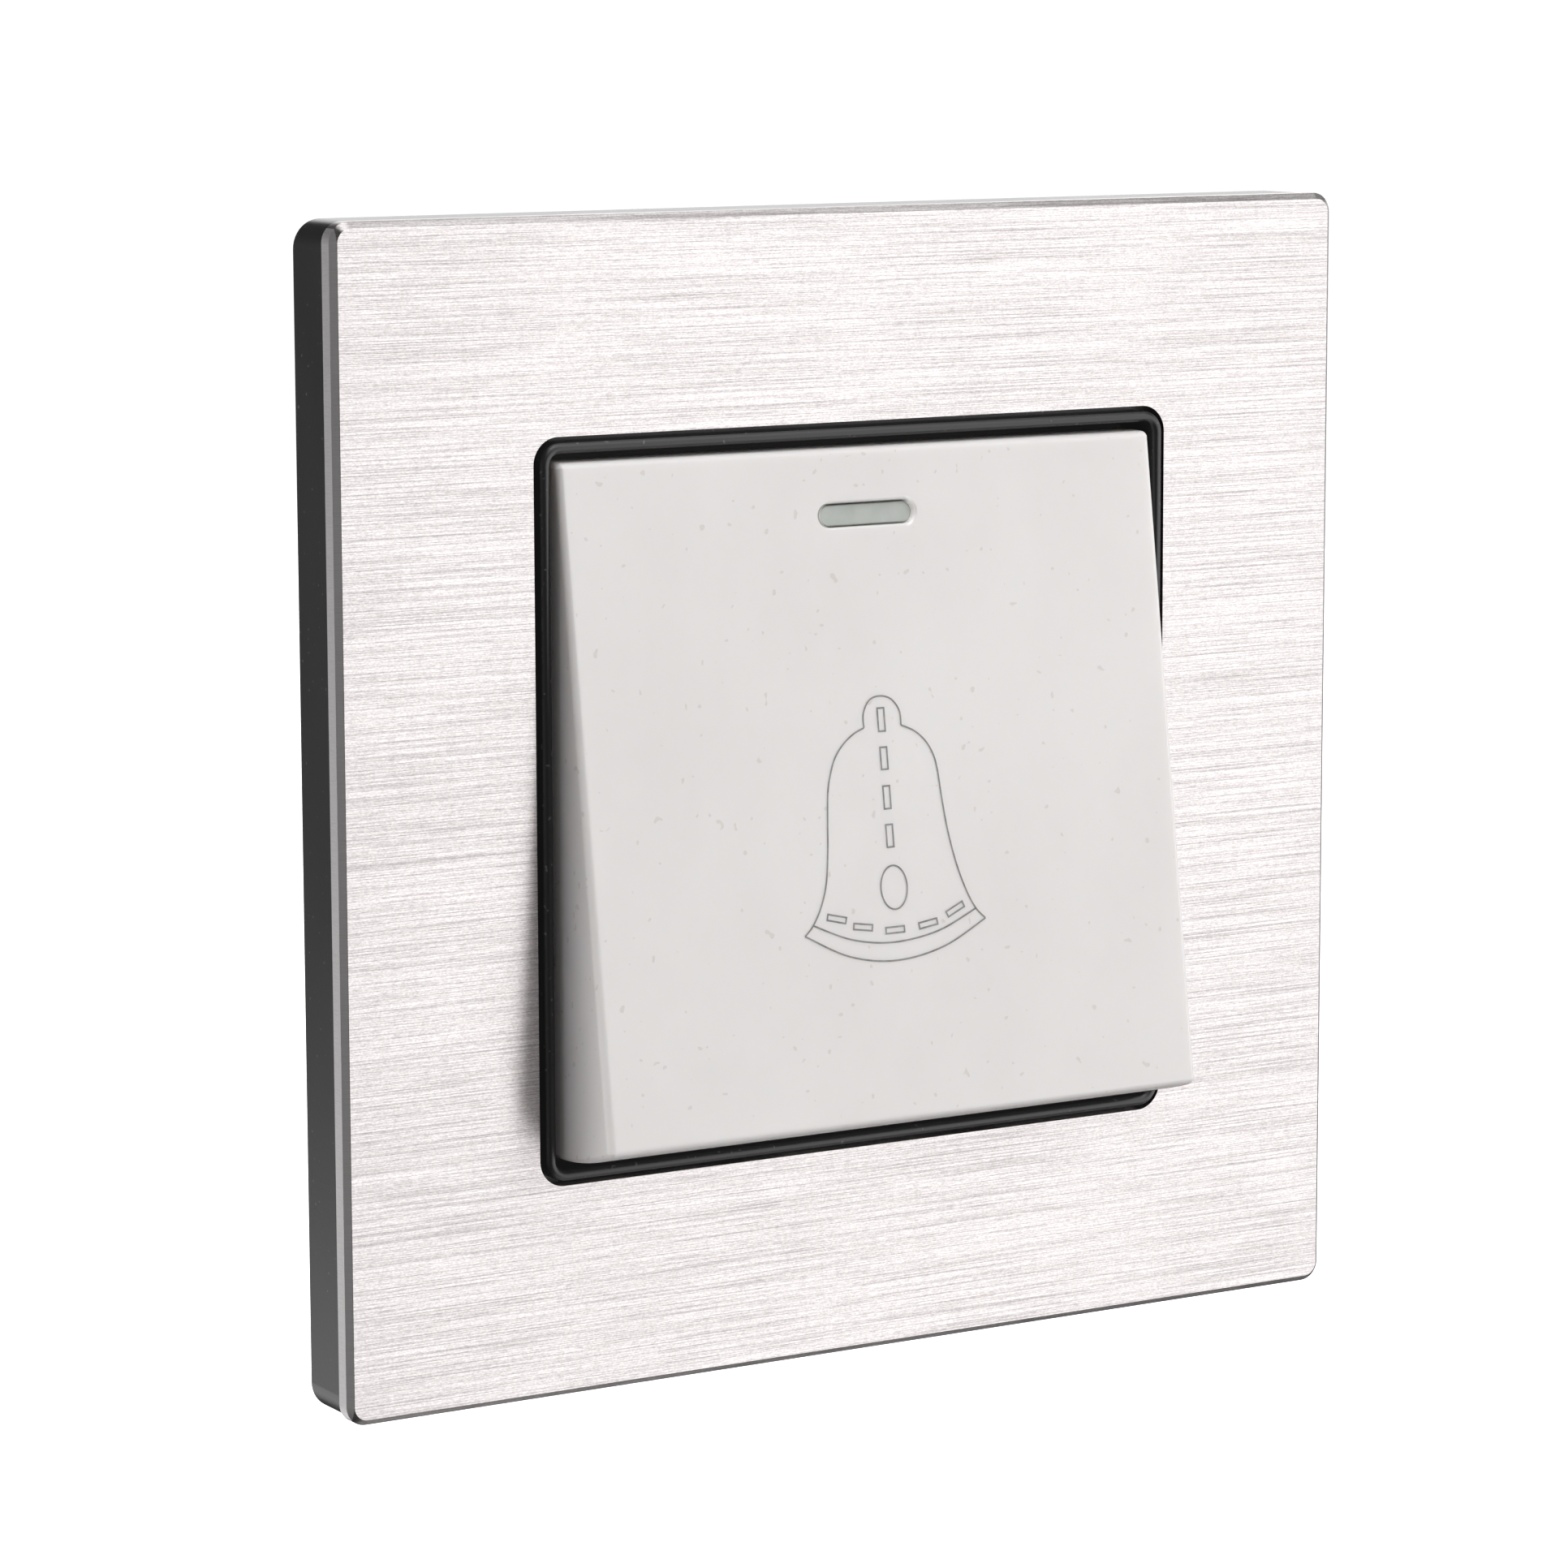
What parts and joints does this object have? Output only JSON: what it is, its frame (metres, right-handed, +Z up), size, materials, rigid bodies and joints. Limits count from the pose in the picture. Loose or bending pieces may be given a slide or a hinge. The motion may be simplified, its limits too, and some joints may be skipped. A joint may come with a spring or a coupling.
{
  "type": "doorbell push button",
  "caption": "Square wall-box doorbell push: brushed metal plate, black trim frame, white rocker key with a small window, and a screw terminal contact box behind.",
  "frame": {"origin": "middle of the two fixing slots, on the wall plane (y = 0)", "axes": "+X to the right seen from the front, +Y into the wall, +Z up; the key faces -Y"},
  "size_m": [0.086, 0.0365, 0.086],
  "materials": {
    "brushed_plate": "fine straight horizontal brushing, clear anodised, cut edges bright",
    "tape": "double-sided foam tape",
    "black_trim": "black moulded plastic, satin sides and a glossier bead",
    "white_key": "warm white moulded plastic, satin gloss",
    "clear_window": "smoky clear moulded light guide",
    "zinc_steel": "bright zinc plated pressed steel",
    "black_base": "black moulded plastic, plain",
    "grey_housing": "dark grey moulded plastic, fine spark texture",
    "screw_steel": "zinc plated screws",
    "nylon": "natural nylon",
    "brass_strip": "stamped brass",
    "silver_contact": "silver alloy rivet",
    "spring_steel": "drawn spring wire",
    "board_green": "solder-resist coated board",
    "lamp_lens": "clear lamp resin",
    "resistor_body": "lacquered resistor"
  },
  "bodies": {
    "base": {"face_plate": "brushed_plate", "plate_tape": "tape", "trim_frame": "black_trim", "mounting_yoke": "zinc_steel", "base_moulding": "black_base", "rear_housing": "grey_housing", "housing_screws": "screw_steel", "return_spring": "spring_steel", "left_contact_strip": "brass_strip", "right_contact_strip": "brass_strip", "fixed_rivets": "silver_contact", "left_terminal": "brass_strip", "right_terminal": "brass_strip", "terminal_screws": "screw_steel", "indicator_board": "board_green", "indicator_lamp": "lamp_lens", "indicator_resistor": "resistor_body", "indicator_pins": "brass_strip"},
    "key": {"rocker_key": "white_key", "indicator_window": "clear_window"},
    "plunger": {"plunger": "nylon", "bridge_contact": "brass_strip", "bridge_rivets": "silver_contact"}
  },
  "joints": [
    {"name": "key_rock", "type": "hinge", "parent": "base", "child": "key", "pos_m": [0, -0.0047, 0], "axis": [1, 0, 0], "range_deg": [0, 16.06], "stiffness_Nm_per_rad": 0.08, "springref_deg": -6.88},
    {"name": "plunger_slide", "type": "slide", "parent": "base", "child": "plunger", "axis": [0, 1, 0], "range_m": [0, 0.0034], "deforming": ["return_spring"]}
  ],
  "couplings": [
    {"joint": "plunger_slide", "follows": "key_rock", "m_per_rad": 0.011961}
  ]
}
